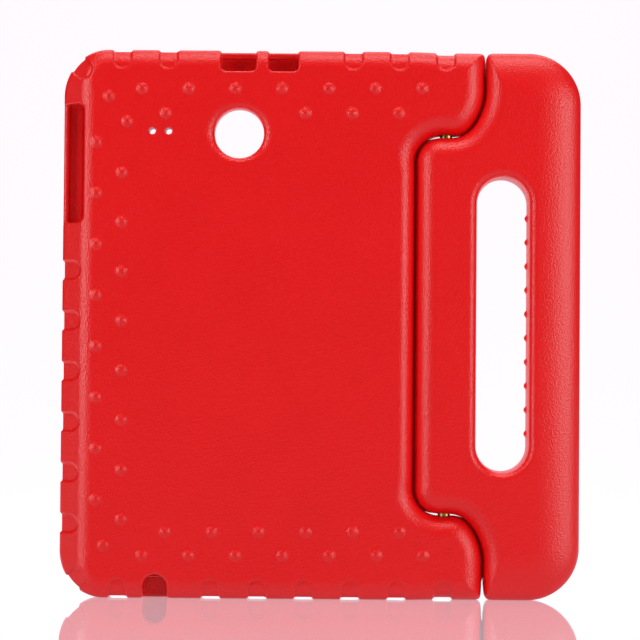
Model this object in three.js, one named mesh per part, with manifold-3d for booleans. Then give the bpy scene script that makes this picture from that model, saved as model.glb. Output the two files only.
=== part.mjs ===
// A child's foam tablet case with a carry handle that folds back to become its stand.
//
// It stands on the short side of its tablet. X runs from the case's left edge to the handle,
// Y from the back of the case (-Y) to the screen (+Y), and Z is up. Millimetres. The origin is
// under the middle of the case, on the surface that it stands on.
import * as THREE from "three";
import { mergeVertices } from "three/addons/utils/BufferGeometryUtils.js";
import Module from "manifold-3d";

const wasm = await Module();
wasm.setup();

// ---- Driving dimensions -------------------------------------------------------------------

const TABLET = { width: 149.5, height: 241.9, thickness: 8.5, corner: 9, centreX: -39.85 };
const FIT = 0.3; // room left all round a piece that sits in another

const HEIGHT = 262; // of the shell and of the handle
const MIDDLE = HEIGHT / 2; // both are the same above and below this height
const SHELL = { left: -124.3, thickness: 22, corner: 22, lip: 3.5, lipOverlap: 5.5 };
const HANDLE = { right: 124.3, thickness: 24, corner: 25 };

// The parting line between the shell and the handle, from the top edge down to mid height. It
// runs down the ear, round the ear's corner, in past the pivot and down the side of the handle.
const GAP = 1.6;
const PIVOT_X = 59.7;
const PARTING = {
  earX: 78.2,
  earCorner: { tight: 12.5, wide: 29, turnDeg: 52 },
  barCorner: { x: 57.7, above: 78, radius: 12.5 },
};
const EDGE = 10; // rounding of the edges that pass each other as the handle turns
const FLANK = { backWidth: 9.5, backDepth: 4.5, frontRound: 5.5 }; // the shell's other edges
const SLOPE = { width: 16, turnDeg: 42, round: 10, end: 1.6 }; // the back of its left edge

const GROOVE = { width: 8.8, depth: 0.8, reach: 9.5 };
const GROOVE_ROW = { firstX: 59.1, pitchX: 22.1, perEdge: 8, firstZ: 35.2, pitchZ: 24.2, upSide: 6 };
const CAMERA = { x: -39.5, z: 221.6, radius: 11.8, flare: 15.4, flareDepth: 3.6 };
const SOUND_HOLE = { x: [-80.9, -73.1], z: 222.6, radius: 1.65 };
const BUTTON_SLOT = { bottom: 179.2, top: 235.6, corner: 3 };
const TOP_PORTS = [
  { x: -40.1, width: 16.6 },
  { x: -18.6, width: 13.9 },
];
const MICROPHONE = { x: -77.8, width: 11.5, top: 12.3 };
const PORT_RIM = { width: 2.8, backY: 2.5 }; // left standing at the outer edge of each opening
const HAND_SLOT = { x: 86.75, width: 24.1, length: 139, edge: 4.5 };

// The hinge, alike at both ends of the pivot. Depths count from the middle of the gap there.
const PIN = { radius: 3, intoEar: 26, intoHandle: 28.5, headRadius: 4.6, headLength: 2.6 };
const SOCKET = { flats: 13, length: 25, recess: 5 };
const CORE = { flats: 13, recess: 5, sleeveDepth: 22.4, chamber: 6 };
const SLEEVE = { outer: 4.5, length: 20, slit: 1.2 };
const FOAM_BORE = 3.7; // radius of the hole that each pin passes through in the foam
const ROUND = 20; // sides of the pins and of the bores around them

// ---- Working dimensions -------------------------------------------------------------------

const backY = -SHELL.thickness / 2;
const frontY = SHELL.thickness / 2;
const pocket = {
  left: TABLET.centreX - TABLET.width / 2 - FIT,
  right: TABLET.centreX + TABLET.width / 2 + FIT,
  bottom: MIDDLE - TABLET.height / 2 - FIT,
  top: MIDDLE + TABLET.height / 2 + FIT,
  front: frontY - SHELL.lip,
};
pocket.back = pocket.front - TABLET.thickness - FIT;
const pivotAbove = PARTING.barCorner.above + PARTING.barCorner.radius;
const FAR = 60; // how far a cutter runs on past the foam

// ---- Shapes -------------------------------------------------------------------------------

// The outlines are drawn in the plane of the case, as [x, z] points going anticlockwise.
const arc = (x, z, radiusX, radiusZ, fromDeg, toDeg, steps) =>
  Array.from({ length: steps + 1 }, (_, i) => {
    const angle = THREE.MathUtils.degToRad(fromDeg + ((toDeg - fromDeg) * i) / steps);
    return new THREE.Vector2(x + radiusX * Math.cos(angle), z + radiusZ * Math.sin(angle));
  });

const roundedBox = (left, bottom, right, top, radius, steps = 6) => [
  ...arc(right - radius, bottom + radius, radius, radius, -90, 0, steps),
  ...arc(right - radius, top - radius, radius, radius, 0, 90, steps),
  ...arc(left + radius, top - radius, radius, radius, 90, 180, steps),
  ...arc(left + radius, bottom + radius, radius, radius, 180, 270, steps),
];

// Moves each point to the left of its outline, which is inwards, by distance(point).
function inset(outline, distance) {
  return outline.map((point, i) => {
    const before = outline[(i + outline.length - 1) % outline.length];
    const after = outline[(i + 1) % outline.length];
    const arriving = point.clone().sub(before).normalize();
    const leaving = after.clone().sub(point).normalize();
    const normal = new THREE.Vector2(-arriving.y - leaving.y, arriving.x + leaving.x).normalize();
    const mitre = 1 / (normal.x * -leaving.y + normal.y * leaving.x);
    return point.clone().addScaledVector(normal, distance(point) * mitre);
  });
}

// A closed body through rings of equally many points, from the back (-Y) to the front.
function loft(rings) {
  const count = rings[0].length;
  const positions = rings.flat().flatMap((point) => [point.x, point.y, point.z]);
  const faces = [];
  for (let ring = 0; ring + 1 < rings.length; ring++)
    for (let i = 0; i < count; i++) {
      const a = ring * count + i;
      const b = ring * count + ((i + 1) % count);
      faces.push(a, b + count, b, a, a + count, b + count);
    }
  const flat = (ring) => ring.map((point) => new THREE.Vector2(point.x, point.z));
  const last = (rings.length - 1) * count;
  for (const [a, b, c] of THREE.ShapeUtils.triangulateShape(flat(rings[0]), []))
    faces.push(a, b, c);
  for (const [a, b, c] of THREE.ShapeUtils.triangulateShape(flat(rings.at(-1)), []))
    faces.push(last + a, last + c, last + b);
  const geometry = new THREE.BufferGeometry();
  geometry.setAttribute("position", new THREE.Float32BufferAttribute(positions, 3));
  return geometry.setIndex(faces);
}

// A straight prism of an outline between two depths.
const prism = (outline, back, front) =>
  loft([back, front].map((y) => outline.map((p) => new THREE.Vector3(p.x, y, p.y))));

// A geometry as a manifold-3d solid, and back.
function solid(geometry) {
  const bare = geometry.clone();
  bare.deleteAttribute("normal");
  bare.deleteAttribute("uv");
  const merged = mergeVertices(bare, 1e-4);
  return new wasm.Manifold(
    new wasm.Mesh({
      numProp: 3,
      vertProperties: new Float32Array(merged.attributes.position.array),
      triVerts: new Uint32Array(merged.index.array),
    }),
  );
}

function geometryOf(manifold) {
  const mesh = manifold.getMesh();
  const geometry = new THREE.BufferGeometry();
  geometry.setAttribute("position", new THREE.BufferAttribute(mesh.vertProperties, 3));
  geometry.setIndex(new THREE.BufferAttribute(mesh.triVerts, 1));
  geometry.computeVertexNormals();
  return geometry;
}

const joined = (solids) => solids.reduce((all, next) => all.add(next));

// A turned piece about the pivot's line, from [radius, height] points on one side of it.
function turned(profile, segments, turn = 0) {
  const points = profile.map(([radius, height]) => new THREE.Vector2(radius, height));
  const geometry = new THREE.LatheGeometry(points, segments, turn);
  return geometry.rotateX(Math.PI / 2).translate(PIVOT_X, 0, 0);
}

// An eight-sided bar about the pivot's line, which can't turn in the foam.
function octagon(flats, bottom, top) {
  const radius = flats / 2 / Math.cos(Math.PI / 8);
  const profile = [
    [0, bottom],
    [radius, bottom],
    [radius, top],
    [0, top],
  ];
  return turned(profile, 8, Math.PI / 8);
}

// ---- Edge profiles ------------------------------------------------------------------------

const EDGE_STEPS = 5;

// A plain round edge: [depth, inset] from the back face to the front face.
function roundEdge(thickness, radius) {
  const quarter = arc(0, 0, radius, radius, 0, 90, EDGE_STEPS);
  const back = quarter.map((p) => [-thickness / 2 + radius - p.x, radius - p.y]);
  const front = back.map(([depth, inwards]) => [-depth, inwards]).reverse();
  return [...back, ...front];
}

// The shell's outer edge falls away in a wide curve at the back, and is flat where it stands.
function flankEdge() {
  const { backWidth, backDepth, frontRound } = FLANK;
  const back = arc(0, 0, backDepth, backWidth, 0, 90, EDGE_STEPS).map((p) => [
    backY + backDepth - p.x,
    backWidth - p.y,
  ]);
  const front = arc(0, 0, frontRound, frontRound, 90, 0, EDGE_STEPS).map((p) => [
    frontY - frontRound + p.x,
    frontRound - p.y,
  ]);
  return [...back, ...front];
}

// The shell's left edge slopes away from a wide round at the back.
function slopeEdge() {
  const turn = THREE.MathUtils.degToRad(SLOPE.turnDeg);
  const onRound = (share) => [
    backY + SLOPE.round * (1 - Math.cos(turn * share)),
    SLOPE.width - SLOPE.round * Math.sin(turn * share),
  ];
  const [slopeY, slopeInset] = onRound(1);
  const onSlope = (inwards) => [slopeY + (slopeInset - inwards) * Math.tan(turn), inwards];
  const halfWay = onSlope((slopeInset + SLOPE.end) / 2);
  const [sideY] = onSlope(0);
  const back = [onRound(0), onRound(0.5), onRound(1), halfWay, onSlope(SLOPE.end), [sideY + 1, 0]];
  return [...back, ...flankEdge().slice(back.length)];
}

// ---- Outlines -----------------------------------------------------------------------------

// The parting line's upper half, moved sideways by half the gap towards the shell or the handle.
// The ear's corner is a wide arc that tightens towards the pivot.
function partingLine(side) {
  const { earX, earCorner, barCorner } = PARTING;
  const shift = (side * GAP) / 2;
  const { tight, wide, turnDeg } = earCorner;
  const turn = THREE.MathUtils.degToRad(turnDeg);
  const wideX = earX - wide;
  const tightX = wideX + (wide - tight) * Math.sin(turn);
  const tightZ = MIDDLE + pivotAbove + tight;
  const wideZ = tightZ + (wide - tight) * Math.cos(turn);
  const atRadius = (radius, x, z, fromDeg, toDeg, steps) =>
    arc(x, z, radius, radius, fromDeg, toDeg, steps);
  return [
    new THREE.Vector2(earX + shift, HEIGHT),
    ...atRadius(wide + shift, wideX, wideZ, 0, turnDeg - 90, 5),
    ...atRadius(tight + shift, tightX, tightZ, turnDeg - 90, -90, 7).slice(1),
    ...atRadius(barCorner.radius - shift, barCorner.x, MIDDLE + barCorner.above, 90, 180, 10),
  ];
}

const mirrored = (points) =>
  points.map((p) => new THREE.Vector2(p.x, HEIGHT - p.y)).reverse();

const shellOutline = (() => {
  const upper = partingLine(-1).reverse();
  const { left, corner } = SHELL;
  return [
    ...mirrored(upper),
    ...upper,
    new THREE.Vector2(PARTING.barCorner.x, HEIGHT),
    new THREE.Vector2(pocket.right, HEIGHT),
    ...arc(left + corner, HEIGHT - corner, corner, corner, 90, 180, 10),
    ...arc(left + corner, corner, corner, corner, 180, 270, 10),
    new THREE.Vector2(pocket.right, 0),
    new THREE.Vector2(PARTING.barCorner.x, 0),
  ];
})();

const handleOutline = (() => {
  const upper = partingLine(1);
  const { right, corner } = HANDLE;
  return [
    ...arc(right - corner, corner, corner, corner, -90, 0, 10),
    ...arc(right - corner, HEIGHT - corner, corner, corner, 0, 90, 10),
    ...upper,
    ...mirrored(upper),
  ];
})();

// ---- The foam shell -----------------------------------------------------------------------

const onOuterEdge = (point) =>
  point.y < 0.1 || point.y > HEIGHT - 0.1 || point.x < pocket.left;

// How much of the outer edge's own curve a point of the outline has: none near the handle.
function flankShare(point) {
  const { x } = PARTING.barCorner;
  if (!onOuterEdge(point)) return 0;
  return THREE.MathUtils.clamp((x - point.x) / (x - pocket.right), 0, 1);
}

// How much of the sloping edge a point of the outline has: all along the left side.
function slopeShare(point) {
  const aside = THREE.MathUtils.clamp((SHELL.left + SHELL.corner - point.x) / SHELL.corner, 0, 1);
  return aside * aside;
}

// The shell's outside, with its outer edge brought in by shrink.
function shellBody(shrink) {
  const round = roundEdge(SHELL.thickness, EDGE);
  const flank = flankEdge();
  const slope = slopeEdge();
  const mix = (share, a, b) => a + (b - a) * share;
  const squeeze = (SHELL.thickness / 2 - shrink) / (SHELL.thickness / 2);
  const rings = round.map(([roundDepth, roundInset], i) => {
    const [flankDepth, flankInset] = flank[i];
    const [slopeDepth, slopeInset] = slope[i];
    const moved = inset(shellOutline, (p) => {
      const outer = mix(slopeShare(p), flankInset, slopeInset);
      return mix(flankShare(p), roundInset, outer) + (onOuterEdge(p) ? shrink : 0);
    });
    return moved.map((p, n) => {
      const point = shellOutline[n];
      const outer = mix(slopeShare(point), flankDepth, slopeDepth);
      return new THREE.Vector3(p.x, mix(flankShare(point), roundDepth, outer) * squeeze, p.y);
    });
  });
  return solid(loft(rings));
}

// The shallow finger grooves that cross the outer edge, each with a round end on the back.
function grooveCutters() {
  const half = GROOVE.width / 2;
  const upright = [
    ...arc(0, GROOVE.reach - half, half, half, 0, 180, 8),
    new THREE.Vector2(-half, -FAR / 4),
    new THREE.Vector2(half, -FAR / 4),
  ];
  const place = (x, z, turnDeg) => {
    const turn = THREE.MathUtils.degToRad(turnDeg);
    const outline = upright.map((p) =>
      p.clone().rotateAround(new THREE.Vector2(), turn).add(new THREE.Vector2(x, z)),
    );
    return solid(prism(outline, -FAR, frontY - 1));
  };
  const cutters = [];
  const { firstX, pitchX, perEdge, firstZ, pitchZ, upSide } = GROOVE_ROW;
  for (let i = 0; i < perEdge; i++) {
    const x = firstX - i * pitchX;
    const clearOfPorts = TOP_PORTS.every((port) => Math.abs(port.x - x) > port.width + 2);
    if (clearOfPorts) cutters.push(place(x, HEIGHT, 180));
    if (Math.abs(MICROPHONE.x - x) > MICROPHONE.width) cutters.push(place(x, 0, 0));
  }
  for (let i = 0; i < upSide; i++) cutters.push(place(SHELL.left, firstZ + i * pitchZ, -90));
  const diagonal = SHELL.corner * (1 - Math.SQRT1_2);
  cutters.push(place(SHELL.left + diagonal, diagonal, -45));
  cutters.push(place(SHELL.left + diagonal, HEIGHT - diagonal, -135));
  return cutters;
}

// Where the tablet sits, and the window that its screen shows through.
function pocketCutters() {
  const { left, right, bottom, top, back, front } = pocket;
  const over = SHELL.lipOverlap;
  const window = roundedBox(left + over, bottom + over, right - over, top - over, 8);
  const opening = [0, 1].map((step) =>
    inset(window, () => -2 * step).map((p) => {
      const depth = step ? frontY + 0.5 : front - 0.5;
      return new THREE.Vector3(p.x, depth, p.y);
    }),
  );
  return [
    solid(prism(roundedBox(left, bottom, right, top, TABLET.corner), back, front)),
    solid(loft(opening)),
  ];
}

// The openings over the buttons and ports. In front of each the lip stays whole, and at the
// outer edge a low rim is left standing on it.
function portCutters() {
  const { bottom, top, corner } = BUTTON_SLOT;
  const half = MICROPHONE.width / 2;
  const outlines = (beyond) => [
    roundedBox(SHELL.left - beyond, bottom, pocket.left + 1, top, corner),
    ...TOP_PORTS.map(({ x, width }) =>
      roundedBox(x - width / 2, pocket.top - 0.5, x + width / 2, HEIGHT + beyond, 2.5),
    ),
    [
      ...arc(MICROPHONE.x, MICROPHONE.top - half, half, half, 0, 180, 12),
      new THREE.Vector2(MICROPHONE.x - half, -beyond),
      new THREE.Vector2(MICROPHONE.x + half, -beyond),
    ],
  ];
  const cut = (beyond, front) => outlines(beyond).map((outline) => solid(prism(outline, -FAR, front)));
  return [...cut(FAR, PORT_RIM.backY), ...cut(-PORT_RIM.width, pocket.front - 0.5)];
}

// Round holes through the back panel, for the camera and the sound.
function backHoleCutters() {
  const drilled = (profile, x, z, segments) =>
    solid(
      new THREE.LatheGeometry(
        profile.map(([radius, along]) => new THREE.Vector2(radius, along)),
        segments,
      ).translate(x, 0, z),
    );
  const inside = pocket.back + 1;
  const { radius, flare, flareDepth } = CAMERA;
  const flared = arc(0, 0, flare - radius, flareDepth, 90, 0, 4).map((p) => [
    flare - p.x,
    backY + flareDepth - p.y,
  ]);
  const camera = [[0, -FAR], [flare, -FAR], ...flared, [radius, inside], [0, inside]];
  const sound = [
    [0, -FAR],
    [SOUND_HOLE.radius, -FAR],
    [SOUND_HOLE.radius, inside],
    [0, inside],
  ];
  return [
    drilled(camera, CAMERA.x, CAMERA.z, 40),
    ...SOUND_HOLE.x.map((x) => drilled(sound, x, SOUND_HOLE.z, 12)),
  ];
}

// ---- The hinge ----------------------------------------------------------------------------

// Each end of the hinge is made for the upper end, and turned over for the lower one.
const pivotZ = MIDDLE + pivotAbove;
const socketBottom = pivotZ + SOCKET.recess;
const coreTop = pivotZ - CORE.recess;
const pinTop = pivotZ + PIN.intoEar;
const shankBottom = pivotZ - PIN.intoHandle;
const pinBottom = shankBottom - PIN.headLength;

const turnedOver = (geometry) => {
  const over = geometry.clone().translate(-PIVOT_X, 0, -MIDDLE).rotateX(Math.PI);
  return over.translate(PIVOT_X, 0, MIDDLE);
};

// A steel pin: a flat head held in the handle's core, and a barbed end pressed into the socket.
function hingePin() {
  const { radius, headRadius } = PIN;
  const barbs = [0, 1, 2, 3].flatMap((n) => {
    const z = pinTop - 14 + n * 3;
    return [[radius, z], [radius - 0.35, z + 0.1], [radius - 0.35, z + 1.2]];
  });
  const profile = [
    [0, pinBottom],
    [headRadius - 0.4, pinBottom],
    [headRadius, pinBottom + 0.4],
    [headRadius, shankBottom],
    [radius, shankBottom],
    ...barbs,
    [radius, pinTop - 1],
    [radius - 0.8, pinTop],
    [0, pinTop],
  ];
  return geometryOf(solid(turned(profile, ROUND)));
}

// A plastic plug glued into the ear, which the pin is pressed into.
function earSocket() {
  const bore = PIN.radius + FIT;
  const block = solid(octagon(SOCKET.flats, socketBottom, socketBottom + SOCKET.length));
  const hole = [
    [0, socketBottom - 1],
    [bore, socketBottom - 1],
    [bore, pinTop + 1],
    [0, pinTop + 1],
  ];
  return geometryOf(block.subtract(solid(turned(hole, ROUND))));
}

// A split nylon sleeve that grips the pin, so that the handle stays where it is put.
function frictionSleeve() {
  const top = coreTop - 1;
  const bottom = top - SLEEVE.length;
  const bore = PIN.radius + FIT;
  const ring = [
    [bore, bottom],
    [SLEEVE.outer, bottom],
    [SLEEVE.outer, top],
    [bore, top],
    [bore, bottom],
  ];
  const slit = new THREE.BoxGeometry(SLEEVE.outer * 2, SLEEVE.slit, SLEEVE.length + 2);
  slit.translate(PIVOT_X + SLEEVE.outer, 0, (top + bottom) / 2);
  return geometryOf(solid(turned(ring, ROUND)).subtract(solid(slit)));
}

// The bar inside the handle's foam that carries both pins, moulded as two halves.
function coreHalves() {
  const whole = solid(octagon(CORE.flats, HEIGHT - coreTop, coreTop));
  const sleeveBore = SLEEVE.outer + FIT;
  const chamberTop = coreTop - CORE.sleeveDepth;
  const chamberRadius = PIN.headRadius + FIT;
  const space = turned(
    [
      [0, chamberTop - CORE.chamber],
      [chamberRadius, chamberTop - CORE.chamber],
      [chamberRadius, chamberTop],
      [sleeveBore, chamberTop],
      [sleeveBore, coreTop + 1],
      [0, coreTop + 1],
    ],
    ROUND,
  );
  const bored = whole.subtract(solid(space)).subtract(solid(turnedOver(space)));
  return [-1, 1].map((side) => {
    const keep = new THREE.BoxGeometry(FAR, FAR, HEIGHT);
    keep.translate(PIVOT_X, side * (FAR / 2 + FIT / 2), MIDDLE);
    return geometryOf(bored.intersect(solid(keep)));
  });
}

// ---- The two foam pieces ------------------------------------------------------------------

function foamBore(bottom, top) {
  const profile = [
    [0, bottom],
    [FOAM_BORE, bottom],
    [FOAM_BORE, top],
    [0, top],
  ];
  return turned(profile, ROUND);
}

function foamShell() {
  const outside = shellBody(0);
  const grooves = joined(grooveCutters()).subtract(shellBody(GROOVE.depth));
  const socketTop = socketBottom + SOCKET.length;
  const plug = octagon(SOCKET.flats + 2 * FIT, socketBottom - FIT, socketTop + FIT);
  const pinWay = foamBore(pivotZ - 1, socketTop);
  const cutters = [
    grooves,
    ...pocketCutters(),
    ...portCutters(),
    ...backHoleCutters(),
    ...[plug, pinWay].flatMap((cut) => [solid(cut), solid(turnedOver(cut))]),
  ];
  return geometryOf(outside.subtract(joined(cutters)));
}

function foamHandle() {
  const edge = roundEdge(HANDLE.thickness, EDGE);
  const body = loft(
    edge.map(([depth, inwards]) =>
      inset(handleOutline, () => inwards).map((p) => new THREE.Vector3(p.x, depth, p.y)),
    ),
  );
  const { x, width, length, edge: slotEdge } = HAND_SLOT;
  const slot = roundedBox(
    x - width / 2,
    MIDDLE - length / 2,
    x + width / 2,
    MIDDLE + length / 2,
    width / 2 - 0.01,
    8,
  );
  const slotProfile = roundEdge(HANDLE.thickness, slotEdge);
  const slotRings = [[-FAR, slotEdge], ...slotProfile, [FAR, slotEdge]];
  const slotCutter = loft(
    slotRings.map(([depth, outwards]) =>
      inset(slot, () => -outwards).map((p) => new THREE.Vector3(p.x, depth, p.y)),
    ),
  );
  const coreSpace = octagon(CORE.flats + 2 * FIT, HEIGHT - coreTop - FIT, coreTop + FIT);
  const pinWay = foamBore(HEIGHT - pivotZ - 1, pivotZ + 1);
  const cutters = [slotCutter, coreSpace, pinWay].map(solid);
  return geometryOf(solid(body).subtract(joined(cutters)));
}

// ---- Assembly -----------------------------------------------------------------------------

const finish = (color, roughness, metalness = 0) =>
  new THREE.MeshStandardMaterial({ color, roughness, metalness });
const foam = finish(0xd81e1f, 0.55);
const blackPlastic = finish(0x1b1b1d, 0.5);
const nylon = finish(0xe6e2d6, 0.45);
const brassPlate = finish(0xb08d4a, 0.3, 1);

const tabletCase = new THREE.Group();
function add(name, geometry, material) {
  const mesh = new THREE.Mesh(geometry, material);
  mesh.name = name;
  tabletCase.add(mesh);
}

add("foam_shell", foamShell(), foam);
add("foam_handle", foamHandle(), foam);
const [coreBack, coreFront] = coreHalves();
add("hinge_core_back", coreBack, blackPlastic);
add("hinge_core_front", coreFront, blackPlastic);
for (const [end, place] of [
  ["upper", (geometry) => geometry],
  ["lower", turnedOver],
]) {
  add(`hinge_pin_${end}`, place(hingePin()), brassPlate);
  add(`ear_socket_${end}`, place(earSocket()), blackPlastic);
  add(`friction_sleeve_${end}`, place(frictionSleeve()), nylon);
}

export default tabletCase;
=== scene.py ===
"""A child's foam tablet case with a carry handle that folds back to become its stand.

The two foam pieces are modelled here as signed-distance solids: each is a function that says
how far a point lies outside the foam, built up from outlines, rounded edges, cuts and small
reliefs. The surface is taken from that function on a fine grid, thinned where it is flat, and
set back on the exact surface. The hinge inside keeps its CAD shape and gets its finishes here.

Lengths in the shape code are millimetres, in the row frame; the Blender objects are in metres.
"""
import math

import bpy
import numpy as np
from mathutils import Matrix, Vector


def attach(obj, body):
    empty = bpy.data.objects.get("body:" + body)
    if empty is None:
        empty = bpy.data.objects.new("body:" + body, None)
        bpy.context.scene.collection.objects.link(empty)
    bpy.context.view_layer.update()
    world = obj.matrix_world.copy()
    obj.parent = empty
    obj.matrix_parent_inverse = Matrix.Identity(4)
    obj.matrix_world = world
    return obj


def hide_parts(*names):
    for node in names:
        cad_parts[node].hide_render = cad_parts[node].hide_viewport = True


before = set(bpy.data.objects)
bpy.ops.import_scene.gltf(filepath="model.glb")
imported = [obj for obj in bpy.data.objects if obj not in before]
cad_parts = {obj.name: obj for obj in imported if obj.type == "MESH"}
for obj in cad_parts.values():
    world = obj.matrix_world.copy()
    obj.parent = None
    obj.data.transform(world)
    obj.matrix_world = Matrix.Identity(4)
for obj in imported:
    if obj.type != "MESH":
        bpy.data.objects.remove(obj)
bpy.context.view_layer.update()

MM = 0.001

# ---- Sizes shared with the CAD ------------------------------------------------------------

HEIGHT = 262.0
MIDDLE = HEIGHT / 2
SHELL_LEFT = -124.3
SHELL_HALF = 11.0  # half the shell's thickness
SHELL_CORNER = 22.0
HANDLE_RIGHT = 124.3
HANDLE_HALF = 12.0
HANDLE_CORNER = 25.0
PIVOT_X = 59.7
PIVOT_ABOVE = 90.5  # of mid height

# The parting line's upper half, from mid height up: heights count from mid height.
BAR_X = 45.2
BAR_CORNER = {"x": 57.7, "above": 78.0, "radius": 12.5}
EAR_TIGHT = {"x": 62.202, "above": 103.0, "radius": 12.5}
EAR_X = 78.2
EAR_TURN = math.radians(-38)  # where the tight arc becomes the wide one
EAR_SPREAD = 29.0 - EAR_TIGHT["radius"]  # how much wider the wide arc is
EAR_WIDE = {
    "x": EAR_TIGHT["x"] - EAR_SPREAD * math.cos(EAR_TURN),
    "above": EAR_TIGHT["above"] - EAR_SPREAD * math.sin(EAR_TURN),
    "radius": EAR_TIGHT["radius"] + EAR_SPREAD,
}

EDGE = 10.0  # rounding of the edges that pass each other as the handle turns
FLANK = {"back_width": 9.5, "back_depth": 4.5, "front": 5.5}
FLANK_FADE = (57.7, 35.2)  # the outer edge's own curve comes in between these x
FAR = 60.0  # how far a cutter runs on past the foam

# The back of the left edge slopes away at an angle, from a line that lies this far in. It fades
# out round the corners, and is rounded where it meets the back and the outer edge.
SLOPE = {"meets": 12.16, "turn": math.radians(42), "fade": 5.0, "round": 2.8}
SLOPE_OUTER = {"round": 1.4, "least": 0.01, "reach": 6.0, "full": 2.0}

POCKET = {"left": -114.9, "right": 35.2, "bottom": 9.75, "top": 252.25, "back": -1.3, "front": 7.5}
POCKET_CORNER = 9.0
LIP = {"overlap": 5.5, "corner": 8.0, "height": 3.5, "behind": 1.5, "round": 0.7}
LIP_WIDENING = {"by": 2.0, "most": 1.3}  # towards the front, and how far past it

GROOVE = {"half": 4.4, "reach": 9.5, "front": 10.0, "wall": 1.2}
GROOVE_TOP = (59.1, 37.0, 14.9, -73.5, -95.6)
GROOVE_BOTTOM = (59.1, 37.0, 14.9, -7.2, -29.3, -51.4, -95.6)
GROOVE_SIDE = [35.2 + 24.2 * i for i in range(6)]
SOUND_HOLES = {"x": (-80.9, -73.1), "z": 222.6, "radius": 1.65}
BUTTONS = {"bottom": 179.2, "top": 235.6, "right": -113.9, "corner": 3.0}
TOP_PORTS = ((-40.1, 16.6), (-18.6, 13.9))  # the middle and width of each
PORT = {"corner": 2.5, "into_pocket": 0.5}
PIN_BORE = 3.7
PLUG_FLATS = 13.6

# The room for the hinge, as heights above and below mid height.
EAR_PLUG = {"middle": 108.0, "half": 12.8}
EAR_PIN = {"middle": 105.0, "half": 15.5}
CORE_TOP = 85.8
CORE_PIN_TOP = 91.5

# ---- Sizes fitted closer to the photo than the CAD's --------------------------------------

CAMERA_HOLE = {"x": -39.5, "z": 221.9, "radius": 11.8}
CAMERA_FLARE = {"across": 16.9, "up": 14.8, "depth": 3.6}
MICROPHONE = {"x": -77.8, "half": 5.75, "top": 11.6}
HAND_SLOT = {"x": 86.75, "z": 131.4, "half": 12.05, "straight": 57.85, "rim": 3.0, "crown": 1.2}
GROOVE_DEPTH = 1.1

# ---- Sizes only seen here -----------------------------------------------------------------

# The openings in the flanks stop short of the front lip, at a low rim and then at a floor.
OPENING = {"rim_width": 2.8, "rim_y": 0.8, "floor_y": 3.8, "microphone_y": 0.5, "round": 0.8}

# The foam pieces all but touch along the gap, which opens at its two ends and at the pins. At
# mid thickness the side that is round about the pivot is crowned, and the other is hollowed.
CREVICE = {"width": 0.5, "at_pin": 0.45, "at_end": 1.6}
CREVICE_END = {"from": 119.5, "top_share": 0.15, "curve": 1.5}
CREVICE_PIN = {"x": PIVOT_X - 1.5, "reach": 5.0, "below": 105.0}
CROWN = {"bar": 0.92, "ear": -0.8, "half": 3.5, "clear_of_pin": 4.0, "end_fade": 4.0}
CROWN_FADE = {"bar": 6.0, "ear": 7.0}

CORNER_SHARPNESS = 10  # how sharply two edge roundings meet in a corner
HANDLE_EDGE = 22.0  # how far in from its outer edge the handle rounds off
BAR_EDGE = {"tighter": 2.2, "fade": 10.0, "ends": 82.0}  # the shell's edge beside the bar
RIM = {"sides": 1.3, "pocket": 0.9, "hole": 0.4, "hinge": 0.2}  # how much cut edges are rounded

# The back's small domes stand in two rows along each outer edge, all turned by a small tilt.
DOME = {"radius": 3.4, "height": 1.45, "tilt": 0.008, "tilt_x": -18.0, "on_back": -5.0}
DOME_FROM = {"x": 59.6, "pitch": 22.25}
DOME_ROWS = (  # the height of each row, and its domes' places in pitches
    (243.4, (0.5, 1.5, 2.5, 3.5, 4.5, 5.5, 6.5)),
    (231.6, (1, 2, 3, 6)),
    (21.2, (0.5, 1.5, 2.5, 3.5, 4.5, 5.5, 6.5)),
    (32.4, (1, 2, 3, 4, 5, 6)),
)
DOME_COLUMNS = (  # the place of each column, its lowest dome's height, and its pitch
    (-106.8, 47.7, 24.3),
    (-94.7, 38.4, 23.55),
)
DOMES_IN_COLUMN = 8
DOME_CORNERS = ((-100.8, 239.7), (-92.2, 227.7), (-103.1, 26.1))
FINGER_DOME = {"count": 10, "pitch": 11.47, "tall": 1.9, "wide": 2.6, "height": 1.2}


# ---- Distances and ways to join them ------------------------------------------------------

def round_max(a, b, radius):
    """The overlap of two solids, with its outer edge rounded."""
    corner = np.hypot(np.maximum(a + radius, 0), np.maximum(b + radius, 0))
    return np.minimum(np.maximum(a, b), -radius) + corner


def round_min(a, b, radius):
    """Two solids joined, with the inner corner between them filled to a radius."""
    return -round_max(-a, -b, radius)


def cut(body, cutter, rim):
    """A body less a cutter, with the cut's edge rounded."""
    return round_max(body, -cutter, rim)


def inside_share(distance, width):
    """1 well inside an outline and 0 outside it, changing smoothly over a width."""
    t = np.clip(0.5 - distance / width, 0, 1)
    return t * t * (3 - 2 * t)


def box_outline(x, z, left, right, bottom, top, corner):
    """A rectangle with round corners."""
    across = np.abs(x - (left + right) / 2) - (right - left) / 2 + corner
    up = np.abs(z - (bottom + top) / 2) - (top - bottom) / 2 + corner
    outside = np.hypot(np.maximum(across, 0), np.maximum(up, 0))
    return outside + np.minimum(np.maximum(across, up), 0) - corner


def finger_outline(x, z, tip, outward, half):
    """A slot with a round end, open towards outward; tip is the round end's centre."""
    along = (x - tip[0]) * outward[0] + (z - tip[1]) * outward[1]
    across = (x - tip[0]) * outward[1] - (z - tip[1]) * outward[0]
    return np.hypot(across, np.minimum(along, 0)) - half


def octagon(across, y, flats):
    """The outline of an eight-sided bar, this wide across its flats."""
    diagonal = (np.abs(across) + np.abs(y)) * math.sqrt(0.5)
    return np.maximum(np.maximum(np.abs(across), np.abs(y)), diagonal) - flats / 2


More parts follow.
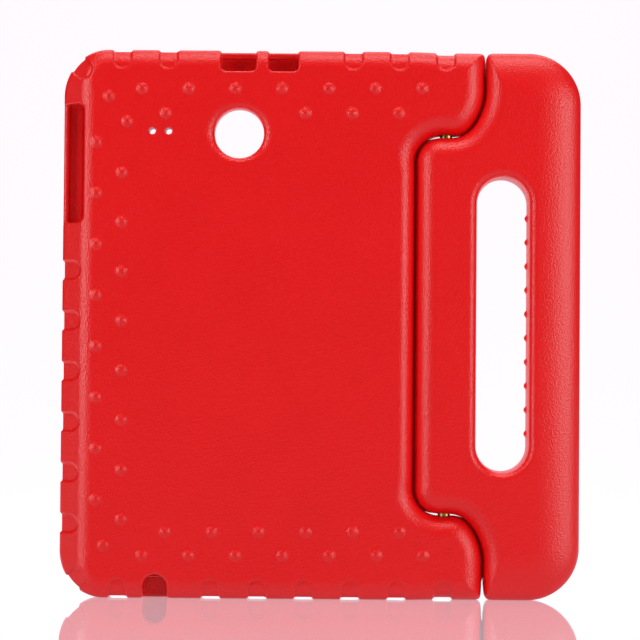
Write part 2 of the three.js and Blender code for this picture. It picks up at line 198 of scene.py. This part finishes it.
def parting(x, z):
    """Distance to the middle of the gap: above zero on the shell's side."""
    up = np.abs(z - MIDDLE)

    def line_down(at, high):
        return np.hypot(x - at, np.maximum(up - high, 0)), at - x

    def line_up(at, low):
        return np.hypot(x - at, np.minimum(up - low, 0)), at - x

    def level(left, right, at):
        beyond = np.maximum(np.maximum(left - x, x - right), 0)
        return np.hypot(beyond, up - at), up - at

    def bend(corner, low, high, outside):
        dx, dz = x - corner["x"], up - corner["above"]
        angle = np.arctan2(dz, dx)
        far = np.hypot(dx, dz) - corner["radius"]
        near = np.where((angle >= low) & (angle <= high), np.abs(far), np.inf)
        return near, far * outside

    quarter = math.pi / 2
    pieces = [
        line_down(BAR_X, BAR_CORNER["above"]),
        bend(BAR_CORNER, quarter, 2 * quarter, 1),
        level(BAR_CORNER["x"], EAR_TIGHT["x"], PIVOT_ABOVE),
        bend(EAR_TIGHT, -quarter, EAR_TURN, -1),
        bend(EAR_WIDE, EAR_TURN, 0, -1),
        line_up(EAR_X, EAR_WIDE["above"]),
    ]
    nearest, side = pieces[0]
    for near, signed in pieces[1:]:
        side = np.where(near < nearest, signed, side)
        nearest = np.minimum(nearest, near)
    return np.sign(side) * nearest


def crevice(x, y, z):
    """Half the gap's width, and how far its middle is pushed towards the shell."""
    up = np.abs(z - MIDDLE)
    end = CREVICE_END
    opened = np.maximum(up - end["from"], 0) / (MIDDLE - end["from"])
    opened = opened * np.where(z < MIDDLE, 1, end["top_share"])
    from_pin = (x - CREVICE_PIN["x"]) / CREVICE_PIN["reach"]
    at_pin = np.exp(-(from_pin**2)) * (up < CREVICE_PIN["below"])
    width = CREVICE["width"] + CREVICE["at_pin"] * at_pin
    width = width + (CREVICE["at_end"] - CREVICE["width"]) * opened ** end["curve"]
    clear = CROWN["clear_of_pin"]
    beside_bar = np.clip((PIVOT_X - clear - x) / CROWN_FADE["bar"], 0, 1)
    beside_ear = np.clip((x - PIVOT_X - clear) / CROWN_FADE["ear"], 0, 1)
    height = CROWN["bar"] * beside_bar + CROWN["ear"] * beside_ear
    height = height * np.clip(1 - opened * CROWN["end_fade"], 0, 1)
    hump = np.cos(np.clip(y / CROWN["half"], -1, 1) * math.pi / 2) ** 2
    return width / 2, height * hump


def edged(insets, widths, y, half, depth):
    """A slab with rounded edges. insets are depths inside each of its outlines, and widths
    and depth say how far its edge rounding reaches in the plane and through the thickness."""
    shares = [np.maximum(1 - inset / width, 0) for inset, width in zip(insets, widths)]
    total = sum(share**CORNER_SHARPNESS for share in shares)
    in_plane = total ** (1 / CORNER_SHARPNESS)
    through = np.maximum((np.abs(y) - half + depth) / depth, 0)
    length = np.hypot(in_plane, through)
    reach = sum(share**CORNER_SHARPNESS * width for share, width in zip(shares, widths))
    width = reach / np.maximum(total, 1e-30)
    scale = np.hypot(width * in_plane, depth * through) / np.maximum(length, 1e-9)
    return np.where(length > 1e-6, (length - 1) * scale, -depth)


# ---- The shell ----------------------------------------------------------------------------

def grooves(x, z):
    """The outline of all the finger grooves that cross the shell's outer edge."""
    back_off = GROOVE["reach"] - GROOVE["half"]
    slots = [((at, HEIGHT - back_off), (0, 1)) for at in GROOVE_TOP]
    slots += [((at, back_off), (0, -1)) for at in GROOVE_BOTTOM]
    slots += [((SHELL_LEFT + back_off, at), (-1, 0)) for at in GROOVE_SIDE]
    slant = math.sqrt(0.5)
    corner = SHELL_CORNER * (1 - slant) + back_off * slant
    slots.append(((SHELL_LEFT + corner, corner), (-slant, -slant)))
    slots.append(((SHELL_LEFT + corner, HEIGHT - corner), (-slant, slant)))
    nearest = np.inf
    for tip, outward in slots:
        nearest = np.minimum(nearest, finger_outline(x, z, tip, outward, GROOVE["half"]))
    return nearest


def dome_places():
    """Where the back's small domes stand, as (x, z)."""
    start, pitch = DOME_FROM["x"], DOME_FROM["pitch"]
    places = [(start - pitch * n, z) for z, steps in DOME_ROWS for n in steps]
    for x, low, rise in DOME_COLUMNS:
        places += [(x, low + rise * i) for i in range(DOMES_IN_COLUMN)]
    places += DOME_CORNERS
    tilt, tilt_x = DOME["tilt"], DOME["tilt_x"]
    return [(x - tilt * (z - MIDDLE), z + tilt * (x - tilt_x)) for x, z in places]


def domes(x, z):
    """How far the domes stand proud: low bells with a soft foot."""
    raised = 0.0
    for at_x, at_z in dome_places():
        square = (x - at_x) ** 2 + (z - at_z) ** 2
        raised = raised + np.maximum(1 - square / DOME["radius"] ** 2, 0) ** 2
    return DOME["height"] * raised


def pocket_cutter(x, y, z):
    """The tablet's pocket and the window that its screen shows through."""
    left, right = POCKET["left"], POCKET["right"]
    bottom, top = POCKET["bottom"], POCKET["top"]
    over = LIP["overlap"]
    outline = box_outline(x, z, left, right, bottom, top, POCKET_CORNER)
    deep = np.maximum(POCKET["back"] - y, y - POCKET["front"])
    window = box_outline(x, z, left + over, right - over, bottom + over, top - over, LIP["corner"])
    forward = np.clip((y - POCKET["front"]) / LIP["height"], 0, LIP_WIDENING["most"])
    window = window - LIP_WIDENING["by"] * forward
    window = np.maximum(window, POCKET["front"] - LIP["behind"] - y)
    return round_min(np.maximum(outline, deep), window, LIP["round"])


def side_cutters(x, y, z):
    """The openings over the buttons, the ports and the microphone."""
    bottom, top = BUTTONS["bottom"], BUTTONS["top"]
    outline = box_outline(
        x, z, SHELL_LEFT - FAR, BUTTONS["right"], bottom, top, BUTTONS["corner"]
    )
    bottom, top = POCKET["top"] - PORT["into_pocket"], HEIGHT + FAR
    for at, width in TOP_PORTS:
        left, right = at - width / 2, at + width / 2
        port = box_outline(x, z, left, right, bottom, top, PORT["corner"])
        outline = np.minimum(outline, port)
    from_edge = np.minimum(x - SHELL_LEFT, HEIGHT - z)
    shallow = np.maximum(outline, y - OPENING["rim_y"])
    deep = np.maximum(outline, y - OPENING["floor_y"])
    deep = round_max(deep, OPENING["rim_width"] - from_edge, OPENING["round"])
    tip = (MICROPHONE["x"], MICROPHONE["top"] - MICROPHONE["half"])
    arch = finger_outline(x, z, tip, (0, -1), MICROPHONE["half"])
    arch = np.maximum(arch, y - OPENING["microphone_y"])
    return np.minimum(round_min(shallow, deep, OPENING["round"]), arch)


def camera_cutter(x, y, z):
    """The round hole for the camera, with an oval flare at the back."""
    hole, flare = CAMERA_HOLE, CAMERA_FLARE
    across, up = x - hole["x"], z - hole["z"]
    out = np.hypot(across, up)
    oval = np.hypot(flare["across"] * across, flare["up"] * up) / np.maximum(out, 1e-6)
    t = np.clip((flare["depth"] - SHELL_HALF - y) / flare["depth"], 0, 1)
    radius = hole["radius"] + (oval - hole["radius"]) * (1 - np.sqrt(1 - t * t))
    return np.maximum(out - radius, y)


def sound_cutter(x, y, z):
    """The two small round holes beside the camera."""
    out = np.inf
    for at in SOUND_HOLES["x"]:
        out = np.minimum(out, np.hypot(x - at, z - SOUND_HOLES["z"]))
    return np.maximum(out - SOUND_HOLES["radius"], y)


def ear_cutter(x, y, z):
    """The space for the hinge's plug in each ear, and the pin's way to it."""
    up = np.abs(z - MIDDLE)
    beyond_plug = np.abs(up - EAR_PLUG["middle"]) - EAR_PLUG["half"]
    beyond_pin = np.abs(up - EAR_PIN["middle"]) - EAR_PIN["half"]
    plug = np.maximum(octagon(x - PIVOT_X, y, PLUG_FLATS), beyond_plug)
    pin = np.maximum(np.hypot(x - PIVOT_X, y) - PIN_BORE, beyond_pin)
    return np.minimum(plug, pin)


def shell_field(x, y, z):
    """How far a point lies outside the shell."""
    half_gap, crown = crevice(x, y, z)
    edge_parting = parting(x, z) - half_gap - crown
    up = np.abs(z - MIDDLE)
    across = SHELL_LEFT + SHELL_CORNER - x
    rise = up - MIDDLE + SHELL_CORNER
    outside = np.hypot(np.maximum(across, 0), np.maximum(rise, 0))
    edge_outer = SHELL_CORNER - outside - np.minimum(np.maximum(across, rise), 0)
    fade_from, fade_to = FLANK_FADE
    share = np.clip((fade_from - x) / (fade_from - fade_to), 0, 1)
    share = share * np.clip((edge_parting - edge_outer) / EDGE + 0.5, 0, 1)
    at_back = y < 0
    width = EDGE + share * (np.where(at_back, FLANK["back_width"], FLANK["front"]) - EDGE)
    depth = EDGE + share * (np.where(at_back, FLANK["back_depth"], FLANK["front"]) - EDGE)
    beside_bar = np.clip((PIVOT_X - x) / BAR_EDGE["fade"], 0, 1)
    beside_bar = beside_bar * np.clip((BAR_EDGE["ends"] - up) / BAR_EDGE["fade"], 0, 1)
    parting_width = EDGE - BAR_EDGE["tighter"] * beside_bar
    body = edged([edge_outer, edge_parting], [width, parting_width], y, SHELL_HALF, depth)

    sloping = (SLOPE["meets"] - edge_outer) * math.sin(SLOPE["turn"])
    sloping = sloping - (y + SHELL_HALF) * math.cos(SLOPE["turn"])
    aside = (np.maximum(across, 0) / np.maximum(outside, 1)) ** 2
    wedge = round_max(sloping - SLOPE["fade"] * (1 - aside), -y - SHELL_HALF, SLOPE["round"])
    outer = SLOPE_OUTER
    nearing = (outer["reach"] - edge_outer) / (outer["reach"] - outer["full"])
    body = round_max(body, wedge, outer["round"] * np.clip(nearing, outer["least"], 1))

    behind = np.clip(GROOVE["front"] - y, 0, 1)
    body = body + GROOVE_DEPTH * inside_share(grooves(x, z), GROOVE["wall"]) * behind
    body = body - domes(x, z) * (y < DOME["on_back"])

    body = cut(body, side_cutters(x, y, z), RIM["sides"])
    body = cut(body, pocket_cutter(x, y, z), RIM["pocket"])
    body = cut(body, camera_cutter(x, y, z), RIM["hole"])
    body = cut(body, sound_cutter(x, y, z), RIM["hole"])
    return cut(body, ear_cutter(x, y, z), RIM["hinge"])


# ---- The handle ---------------------------------------------------------------------------

def slot_cutter(x, y, z):
    """The hand slot: a little narrower at mid thickness, with small domes along one wall."""
    slot = HAND_SLOT
    up = np.abs(z - slot["z"])
    outline = np.hypot(x - slot["x"], np.maximum(up - slot["straight"], 0)) - slot["half"]
    cutter = outline - slot["crown"] * (y / HANDLE_HALF) ** 2
    dome = FINGER_DOME
    first = MIDDLE - dome["pitch"] * (dome["count"] - 1) / 2
    number = np.clip(np.round((z - first) / dome["pitch"]), 0, dome["count"] - 1)
    apart = np.hypot((z - first - number * dome["pitch"]) / dome["tall"], y / dome["wide"])
    raised = dome["height"] * np.maximum(1 - apart**2, 0) * (x > slot["x"] + slot["half"] / 2)
    return cutter + raised


def handle_field(x, y, z):
    """How far a point lies outside the handle."""
    half_gap, crown = crevice(x, y, z)
    edge_parting = crown - parting(x, z) - half_gap
    up = np.abs(z - MIDDLE)
    across = x - HANDLE_RIGHT + HANDLE_CORNER
    rise = up - MIDDLE + HANDLE_CORNER
    outside = np.hypot(np.maximum(across, 0), np.maximum(rise, 0))
    edge_outer = HANDLE_CORNER - outside - np.minimum(np.maximum(across, rise), 0)
    body = edged([edge_outer, edge_parting], [HANDLE_EDGE, EDGE], y, HANDLE_HALF, EDGE)
    body = cut(body, slot_cutter(x, y, z), HAND_SLOT["rim"])
    core = np.maximum(octagon(x - PIVOT_X, y, PLUG_FLATS), up - CORE_TOP)
    pin = np.maximum(np.hypot(x - PIVOT_X, y) - PIN_BORE, up - CORE_PIN_TOP)
    return cut(body, np.minimum(core, pin), RIM["hinge"])


# ---- From a distance function to a mesh ---------------------------------------------------

STEP = 0.8  # of the grid that the surface is taken from
ROOM = 2.0  # round a piece, in its grid
DOME_ROOM = 1.0
FLATTEST = 0.05  # the least square of a gradient that a step is divided by
SHELL_FACES = 190_000
HANDLE_FACES = 150_000
CORNERS = [(i, j, k) for i in (0, 1) for j in (0, 1) for k in (0, 1)]


def surface_net(field, low, high, step):
    """Points and quads of the surface where field is zero, on a grid between two corners."""
    axes = [np.arange(low[a], high[a] + step, step) for a in range(3)]
    x, y, z = axes[0][:, None, None], axes[1][None, :, None], axes[2][None, None, :]
    values = np.broadcast_to(field(x, y, z), [len(a) for a in axes]).astype(np.float32)
    inside = values < 0
    cells = [n - 1 for n in values.shape]
    count = np.zeros(cells, np.int8)
    for i, j, k in CORNERS:
        count += inside[i : i + cells[0], j : j + cells[1], k : k + cells[2]]
    active = np.argwhere((count > 0) & (count < 8))
    corner_values = np.stack([values[tuple((active + c).T)] for c in CORNERS], 1)
    total = np.zeros((len(active), 3))
    crossings = np.zeros(len(active))
    for a in range(8):
        for axis in range(3):
            b = a + (4, 2, 1)[axis]
            if CORNERS[a][axis]:
                continue
            va, vb = corner_values[:, a], corner_values[:, b]
            crosses = (va < 0) != (vb < 0)
            t = np.where(crosses, va / np.where(crosses, va - vb, 1), 0)
            point = np.array(CORNERS[a], float) + t[:, None] * np.eye(3)[axis]
            total += point * crosses[:, None]
            crossings += crosses
    points = np.array(low) + step * (active + total / crossings[:, None])
    number = np.full(cells, -1, np.int32)
    number[tuple(active.T)] = np.arange(len(active))
    quads = []
    for axis in range(3):
        one, two = [a for a in range(3) if a != axis]
        lower = [slice(1, -1)] * 3
        lower[axis] = slice(0, -1)
        upper = list(lower)
        upper[axis] = slice(1, None)
        a, b = inside[tuple(lower)], inside[tuple(upper)]
        crossing = np.argwhere(a != b)
        starts = a[tuple(crossing.T)]
        base = crossing + [0 if n == axis else 1 for n in range(3)]
        ring = []
        for back_one, back_two in ((1, 1), (0, 1), (0, 0), (1, 0)):
            cell = base.copy()
            cell[:, one] -= back_one
            cell[:, two] -= back_two
            ring.append(number[tuple(cell.T)])
        faces = np.stack(ring, 1)
        outward = starts if axis != 1 else ~starts
        faces[~outward] = faces[~outward][:, ::-1]
        quads.append(faces)
    return points, np.concatenate(quads)


def gradient_at(field, points, reach=0.05):
    """The field's value and gradient at each point."""
    value = field(*points.T)
    gradient = np.empty_like(points)
    for axis in range(3):
        shift = np.zeros(3)
        shift[axis] = reach
        gradient[:, axis] = field(*(points + shift).T) - field(*(points - shift).T)
    return value, gradient / (2 * reach)


def settle(field, points, rounds=3, most=0.4):
    """Moves points on to the surface, and gives its normal at each."""
    for _ in range(rounds):
        value, gradient = gradient_at(field, points)
        square = np.maximum((gradient**2).sum(1), FLATTEST)
        move = -value[:, None] * gradient / square[:, None]
        length = np.linalg.norm(move, axis=1, keepdims=True)
        points = points + move * np.minimum(1, most / np.maximum(length, 1e-9))
    gradient = gradient_at(field, points)[1]
    return points, gradient / np.maximum(np.linalg.norm(gradient, axis=1, keepdims=True), 1e-9)


def foam_piece(name, field, low, high, most_faces):
    """A foam piece: the surface of its field, thinned where it is flat."""
    step = STEP
    points, quads = surface_net(field, low, high, step)
    points = settle(field, points, rounds=2)[0]
    mesh = bpy.data.meshes.new(name)
    mesh.from_pydata([], [], [])
    mesh.vertices.add(len(points))
    mesh.vertices.foreach_set("co", (points * MM).ravel())
    mesh.loops.add(quads.size)
    mesh.loops.foreach_set("vertex_index", quads.ravel())
    mesh.polygons.add(len(quads))
    mesh.polygons.foreach_set("loop_start", np.arange(0, quads.size, 4))
    mesh.update(calc_edges=True)
    piece = bpy.data.objects.new(name, mesh)
    bpy.context.scene.collection.objects.link(piece)

    thin = piece.modifiers.new("thin", "DECIMATE")
    thin.ratio = min(1.0, most_faces / (2 * len(quads)))
    evaluated = piece.evaluated_get(bpy.context.evaluated_depsgraph_get())
    thinned = bpy.data.meshes.new_from_object(evaluated)
    piece.modifiers.clear()
    piece.data = thinned
    thinned.name = name
    bpy.data.meshes.remove(mesh)

    flat = np.empty(len(thinned.vertices) * 3)
    thinned.vertices.foreach_get("co", flat)
    points, normals = settle(field, flat.reshape(-1, 3) / MM)
    thinned.vertices.foreach_set("co", (points * MM).ravel())
    thinned.update()
    thinned.shade_smooth()
    thinned.normals_split_custom_set_from_vertices(normals)
    return piece


# ---- Materials ----------------------------------------------------------------------------

def material(name, color, roughness, metallic=0.0):
    """A new material, with its node tree, its shader and the object's own coordinates."""
    made = bpy.data.materials.new(name)
    made.use_nodes = True
    tree = made.node_tree
    shader = tree.nodes["Principled BSDF"]
    shader.inputs["Base Color"].default_value = (*color, 1)
    shader.inputs["Roughness"].default_value = roughness
    shader.inputs["Metallic"].default_value = metallic
    where = tree.nodes.new("ShaderNodeTexCoord")
    return made, tree, shader, where.outputs["Object"]


def noise(tree, where, size, detail=2.0):
    """Noise whose blobs are about size metres across."""
    node = tree.nodes.new("ShaderNodeTexNoise")
    node.inputs["Scale"].default_value = 1 / size
    node.inputs["Detail"].default_value = detail
    tree.links.new(where, node.inputs["Vector"])
    return node.outputs["Fac"]


def ramp(tree, value, stops):
    """A colour that runs between two stops, each a position and a colour."""
    node = tree.nodes.new("ShaderNodeValToRGB")
    low, high = node.color_ramp.elements
    (low.position, low_color), (high.position, high_color) = stops
    low.color, high.color = (*low_color, 1), (*high_color, 1)
    tree.links.new(value, node.inputs["Fac"])
    return node.outputs["Color"]


def spread(tree, value, low, high):
    """A value from 0 to 1 stretched between two others."""
    node = tree.nodes.new("ShaderNodeMapRange")
    node.inputs["To Min"].default_value = low
    node.inputs["To Max"].default_value = high
    tree.links.new(value, node.inputs["Value"])
    return node.outputs["Result"]


def bump(tree, shader, height, distance, strength):
    """Adds a relief to a shader, on top of any that it already has."""
    node = tree.nodes.new("ShaderNodeBump")
    node.inputs["Distance"].default_value = distance
    node.inputs["Strength"].default_value = strength
    tree.links.new(height, node.inputs["Height"])
    before = shader.inputs["Normal"].links
    if before:
        tree.links.new(before[0].from_socket, node.inputs["Normal"])
    tree.links.new(node.outputs["Normal"], shader.inputs["Normal"])


def red_foam():
    """Moulded closed-cell foam: bright red, with a fine leather grain."""
    made, tree, shader, where = material("red_foam", (0.84, 0.004, 0.005), 0.34)
    deeper, paler = (0.3, (0.825, 0.004, 0.005)), (0.7, (0.855, 0.005, 0.006))
    tone = ramp(tree, noise(tree, where, 0.03, 3), (deeper, paler))
    tree.links.new(tone, shader.inputs["Base Color"])
    grain_size, grain_depth = 0.0008, 0.00024
    grain = tree.nodes.new("ShaderNodeTexVoronoi")
    grain.feature = "SMOOTH_F1"
    grain.inputs["Scale"].default_value = 1 / grain_size
    grain.inputs["Smoothness"].default_value = 0.5
    tree.links.new(where, grain.inputs["Vector"])
    bump(tree, shader, grain.outputs["Distance"], grain_depth, 0.6)
    rough = spread(tree, noise(tree, where, 0.002, 2), 0.31, 0.37)
    tree.links.new(rough, shader.inputs["Roughness"])
    return made


def black_plastic():
    """Moulded plastic with a fine spark-eroded texture."""
    made, tree, shader, where = material("black_plastic", (0.011, 0.011, 0.012), 0.5)
    fine = noise(tree, where, 0.0004, 2)
    bump(tree, shader, fine, 0.00004, 0.5)
    tree.links.new(spread(tree, noise(tree, where, 0.006), 0.42, 0.58), shader.inputs["Roughness"])
    return made


def white_nylon():
    """Natural nylon, a little milky."""
    made, tree, shader, where = material("white_nylon", (0.79, 0.76, 0.68), 0.42)
    shader.inputs["Subsurface Weight"].default_value = 0.08
    shader.inputs["Subsurface Scale"].default_value = 0.001
    darker, paler = (0.3, (0.74, 0.71, 0.62)), (0.7, (0.82, 0.79, 0.72))
    tone = ramp(tree, noise(tree, where, 0.004), (darker, paler))
    tree.links.new(tone, shader.inputs["Base Color"])
    bump(tree, shader, noise(tree, where, 0.0006), 0.00002, 0.4)
    return made


def brass_plate():
    """Brass plate on steel, drawn along the pin, and darker where it was handled."""
    made, tree, shader, where = material("brass_plate", (0.62, 0.42, 0.14), 0.3, 1.0)
    stretch = tree.nodes.new("ShaderNodeMapping")
    stretch.inputs["Scale"].default_value = (1, 1, 0.05)
    tree.links.new(where, stretch.inputs["Vector"])
    drawn = noise(tree, stretch.outputs["Vector"], 0.0003, 3)
    darker, paler = (0.35, (0.3, 0.2, 0.06)), (0.65, (0.5, 0.36, 0.12))
    tone = ramp(tree, noise(tree, where, 0.0025, 3), (darker, paler))
    tree.links.new(tone, shader.inputs["Base Color"])
    tree.links.new(spread(tree, drawn, 0.22, 0.4), shader.inputs["Roughness"])
    bump(tree, shader, drawn, 0.00001, 0.5)
    return made


# ---- Building -----------------------------------------------------------------------------

def finish_node(name, made):
    """Gives a CAD piece that is kept as it is its material."""
    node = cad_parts[name]
    node.data.materials.clear()
    node.data.materials.append(made)


def build_foam():
    """The two foam pieces, in place of the CAD's plain ones."""
    foam = red_foam()
    shell = foam_piece(
        "shell_foam",
        shell_field,
        (SHELL_LEFT - ROOM, -SHELL_HALF - DOME_ROOM - ROOM, -ROOM),
        (EAR_X + ROOM, SHELL_HALF + ROOM, HEIGHT + ROOM),
        SHELL_FACES,
    )
    handle = foam_piece(
        "handle_foam",
        handle_field,
        (BAR_X - ROOM, -HANDLE_HALF - ROOM, -ROOM),
        (HANDLE_RIGHT + ROOM, HANDLE_HALF + ROOM, HEIGHT + ROOM),
        HANDLE_FACES,
    )
    for piece, body, node in ((shell, "shell", "foam_shell"), (handle, "handle", "foam_handle")):
        piece.data.materials.clear()
        piece.data.materials.append(foam)
        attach(piece, body)
        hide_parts(node)


def finish_hinge():
    """The materials of the hinge's pieces."""
    plastic, nylon, brass = black_plastic(), white_nylon(), brass_plate()
    finish_node("hinge_core_back", plastic)
    finish_node("hinge_core_front", plastic)
    for end in ("upper", "lower"):
        finish_node(f"ear_socket_{end}", plastic)
        finish_node(f"friction_sleeve_{end}", nylon)
        finish_node(f"hinge_pin_{end}", brass)


# ---- The stage ----------------------------------------------------------------------------

def grid_mesh(name, rows):
    """A sheet through rows of points, all rows as long as each other."""
    count = len(rows[0])
    points = [point for row in rows for point in row]
    faces = []
    for r in range(len(rows) - 1):
        for i in range(count - 1):
            a = r * count + i
            faces.append((a, a + 1, a + count + 1, a + count))
    mesh = bpy.data.meshes.new(name)
    mesh.from_pydata(points, [], faces)
    sheet = bpy.data.objects.new(name, mesh)
    bpy.context.scene.collection.objects.link(sheet)
    return sheet


def backdrop():
    """A white sheet behind the case: it starts under the table and curves up."""
    half, near, far, low, high, bend, steps = 0.9, 0.0, 1.1, -0.02, 1.6, 0.7, 16
    profile = [(near, low)]
    for i in range(steps + 1):
        angle = math.radians(90 * i / steps)
        profile.append((far + bend * math.sin(angle), low + bend * (1 - math.cos(angle))))
    profile.append((far + bend, high))
    rows = [[(x, y, z) for x in (-half, 0, half)] for y, z in profile]
    sheet = grid_mesh("backdrop", rows)
    sheet.data.shade_smooth()
    made, tree, shader, where = material("backdrop_paper", (0.3, 0.29, 0.31), 0.9)
    shader.inputs["Emission Color"].default_value = (0.97, 0.94, 1, 1)
    shader.inputs["Emission Strength"].default_value = 0.86
    bump(tree, shader, noise(tree, where, 0.002), 0.0001, 0.1)
    sheet.data.materials.append(made)


def table():
    """A glossy pale plate that the case stands on."""
    half, near, far, thick, corner, steps = 1.2, -1.0, 0.035, 0.012, 0.002, 4
    profile = []
    for y, z, turn in (
        (near + corner, -corner, 180),
        (far - corner, -corner, 90),
        (far - corner, corner - thick, 0),
        (near + corner, corner - thick, -90),
    ):
        for i in range(steps + 1):
            angle = math.radians(turn - 90 * i / steps)
            profile.append((y + corner * math.cos(angle), z + corner * math.sin(angle)))
    profile.append(profile[0])
    rows = [[(x, y, z) for x in (-half, 0, half)] for y, z in profile]
    plate = grid_mesh("table", rows)
    made, tree, shader, where = material("table_gloss", (0.32, 0.28, 0.32), 0.03)
    shader.inputs["Emission Color"].default_value = (0.93, 0.85, 0.92, 1)
    shader.inputs["Emission Strength"].default_value = 0.46
    shader.inputs["Coat Weight"].default_value = 0.6
    shader.inputs["Coat Roughness"].default_value = 0.02
    tree.links.new(spread(tree, noise(tree, where, 0.05), 0.02, 0.04), shader.inputs["Roughness"])
    plate.data.materials.append(made)


def area_light(name, place, aim, size, power):
    """A soft box: its size in metres and its power in watts."""
    data = bpy.data.lights.new(name, "AREA")
    data.shape = "RECTANGLE"
    data.size, data.size_y = size
    data.energy = power
    light = bpy.data.objects.new(name, data)
    bpy.context.scene.collection.objects.link(light)
    light.location = place
    light.visible_camera = False
    light.rotation_euler = (Vector(aim) - Vector(place)).to_track_quat("-Z", "Y").to_euler()


def lights():
    """A tall soft box on each side, and two wide ones overhead, before and behind the case."""
    middle = (0, 0, 0.12)
    area_light("left_soft", (-1.1, -0.65, 0.1), middle, (0.4, 1.9), 15)
    area_light("right_soft", (1.02, -0.77, 0.0), middle, (0.75, 1.4), 15.5)
    area_light("top_soft", (0.1, -0.35, 1.3), middle, (1.2, 0.5), 8)
    area_light("back_soft", (0, 0.55, 1.2), middle, (1.2, 0.5), 5)
    world = bpy.data.worlds.new("studio")
    world.use_nodes = True
    tree = world.node_tree
    dim = tree.nodes["Background"]
    dim.inputs["Color"].default_value = (0.97, 0.96, 1, 1)
    dim.inputs["Strength"].default_value = 0.06
    bright = tree.nodes.new("ShaderNodeBackground")
    bright.inputs["Color"].default_value = (0.965, 0.94, 1, 1)
    seen = tree.nodes.new("ShaderNodeLightPath")
    both = tree.nodes.new("ShaderNodeMixShader")
    tree.links.new(seen.outputs["Is Camera Ray"], both.inputs[0])
    tree.links.new(dim.outputs[0], both.inputs[1])
    tree.links.new(bright.outputs[0], both.inputs[2])
    tree.links.new(both.outputs[0], tree.nodes["World Output"].inputs["Surface"])
    bpy.context.scene.world = world


def camera():
    """A long lens at a little below mid height, looking slightly up, and tilted by a hair."""
    data = bpy.data.cameras.new("camera")
    data.sensor_width = 36
    data.lens = 128.9
    data.clip_start = 0.05
    view = bpy.data.objects.new("camera", data)
    bpy.context.scene.collection.objects.link(view)
    place = (0.0013, -1.1, 0.1)
    turn = Matrix.Rotation(math.radians(0.08), 4, "Z")
    tip = Matrix.Rotation(math.radians(90 + 1.73), 4, "X")
    roll = Matrix.Rotation(math.radians(0.455), 4, "Z")
    view.matrix_world = Matrix.Translation(place) @ turn @ tip @ roll
    bpy.context.scene.camera = view


build_foam()
finish_hinge()
backdrop()
table()
lights()
camera()
bpy.context.scene.view_settings.view_transform = "Standard"
